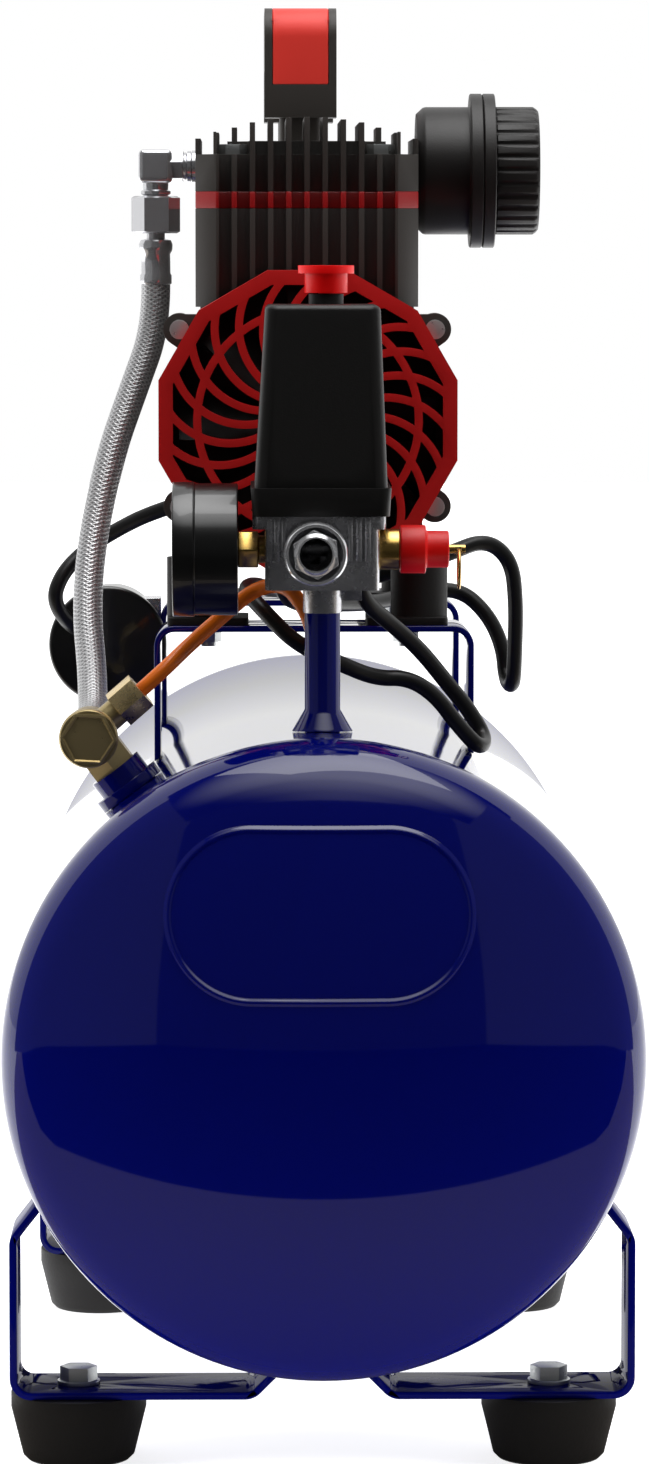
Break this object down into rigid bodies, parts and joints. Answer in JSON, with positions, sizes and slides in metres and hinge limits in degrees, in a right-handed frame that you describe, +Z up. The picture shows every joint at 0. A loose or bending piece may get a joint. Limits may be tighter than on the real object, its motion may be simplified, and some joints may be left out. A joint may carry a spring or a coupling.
{
  "type": "air compressor",
  "caption": "Oil-free direct-drive piston air compressor on a small horizontal receiver, with pressure switch, gauge, outlet coupler, safety valve, filter and carrying handle",
  "frame": {"origin": "on the floor under the middle of the receiver", "axes": "+X to the right seen from the outlet end, +Y from the outlet end to the rear, +Z up"},
  "size_m": [0.25, 0.5468, 0.5835],
  "materials": {
    "blue_paint": "gloss",
    "black_rubber": "satin",
    "zinc_steel": "satin",
    "brass": "satin",
    "black_metal": "satin",
    "red_metal": "satin",
    "cast_metal": "cast",
    "turned_steel": "machined",
    "red_plastic": "semi gloss",
    "black_plastic": "satin",
    "filter_foam": "open cell",
    "bright_plate": "polished",
    "braid": "woven",
    "orange_tube": "gloss",
    "dial_white": "satin",
    "pointer_black": "satin",
    "clear_window": "polished",
    "capacitor_black": "gloss",
    "cable_black": "satin"
  },
  "bodies": {
    "frame": {"tank_shell": "blue_paint", "tank_cap_front": "blue_paint", "tank_cap_rear": "blue_paint", "tank_bosses": "blue_paint", "tank_post": "blue_paint", "foot_brackets": "blue_paint", "pump_bracket_front": "blue_paint", "pump_bracket_rear": "blue_paint", "rubber_feet": "black_rubber", "pump_mounts": "black_rubber", "foot_bolts": "zinc_steel", "mount_bolts": "zinc_steel", "pump_bolts": "zinc_steel", "shaft_bearings": "zinc_steel", "gauge_stem": "brass", "safety_valve_body": "brass", "unloader_fittings": "brass", "check_valve_body": "brass", "crankcase": "black_metal", "cylinder_block": "black_metal", "cylinder_head": "black_metal", "motor_housing": "black_metal", "gauge_case": "black_metal", "valve_plate": "red_metal", "manifold": "cast_metal", "motor_stator": "turned_steel", "fan_guard": "red_plastic", "safety_valve_cap": "red_plastic", "handle_insert": "red_plastic", "filter_body": "black_plastic", "switch_base": "black_plastic", "switch_cover": "black_plastic", "cable_glands": "black_plastic", "handle_body": "black_plastic", "check_valve_cap": "black_plastic", "filter_element": "filter_foam", "discharge_elbow": "bright_plate", "hose_fittings": "bright_plate", "coupler_body": "bright_plate", "capacitor_clamp": "bright_plate", "discharge_hose": "braid", "unloader_tube": "orange_tube", "gauge_dial": "dial_white", "gauge_lens": "clear_window", "capacitor": "capacitor_black", "switch_cable": "cable_black", "motor_cable": "cable_black", "capacitor_cable": "cable_black"},
    "crank": {"crankshaft": "turned_steel", "motor_rotor": "cast_metal", "cooling_fan": "black_plastic"},
    "piston_set": {"piston": "cast_metal", "connecting_rod": "cast_metal"},
    "knob": {"switch_knob": "red_plastic"},
    "valve_pin": {"pull_pin": "brass"},
    "valve_ring": {"pull_ring": "brass"},
    "pointer": {"gauge_needle": "pointer_black"},
    "sleeve": {"coupler_sleeve": "bright_plate"},
    "drain": {"drain_valve": "brass"},
    "air_cap": {"filter_cap": "black_plastic"}
  },
  "joints": [
    {"name": "crank_spin", "type": "hinge", "parent": "frame", "child": "crank", "pos_m": [-0.005, 0, 0.413], "axis": [0, 1, 0], "continuous": true},
    {"name": "piston_stroke", "type": "slide", "parent": "frame", "child": "piston_set", "axis": [0, 0, 1], "range_m": [-0.021, 0]},
    {"name": "knob_press", "type": "slide", "parent": "frame", "child": "knob", "axis": [0, 0, 1], "range_m": [-0.004, 0]},
    {"name": "pin_pull", "type": "slide", "parent": "frame", "child": "valve_pin", "axis": [1, 0, 0], "range_m": [0, 0.003], "stiffness_N_per_m": 800},
    {"name": "ring_swing", "type": "hinge", "parent": "valve_pin", "child": "valve_ring", "pos_m": [0.0535, -0.18, 0.3645], "axis": [0, 1, 0], "range_deg": [-90, 5]},
    {"name": "pointer_turn", "type": "hinge", "parent": "frame", "child": "pointer", "pos_m": [-0.0517, -0.18, 0.3645], "axis": [1, 0, 0], "range_deg": [0, 270]},
    {"name": "sleeve_slide", "type": "slide", "parent": "frame", "child": "sleeve", "axis": [0, 1, 0], "range_m": [0, 0.004], "stiffness_N_per_m": 1500},
    {"name": "drain_turn", "type": "hinge", "parent": "frame", "child": "drain", "pos_m": [0, 0, 0.032], "axis": [0, 0, 1], "range_deg": [0, 360]},
    {"name": "air_cap_turn", "type": "hinge", "parent": "frame", "child": "air_cap", "pos_m": [0.08, -0.038, 0.5138], "axis": [1, 0, 0], "range_deg": [0, 90]}
  ]
}
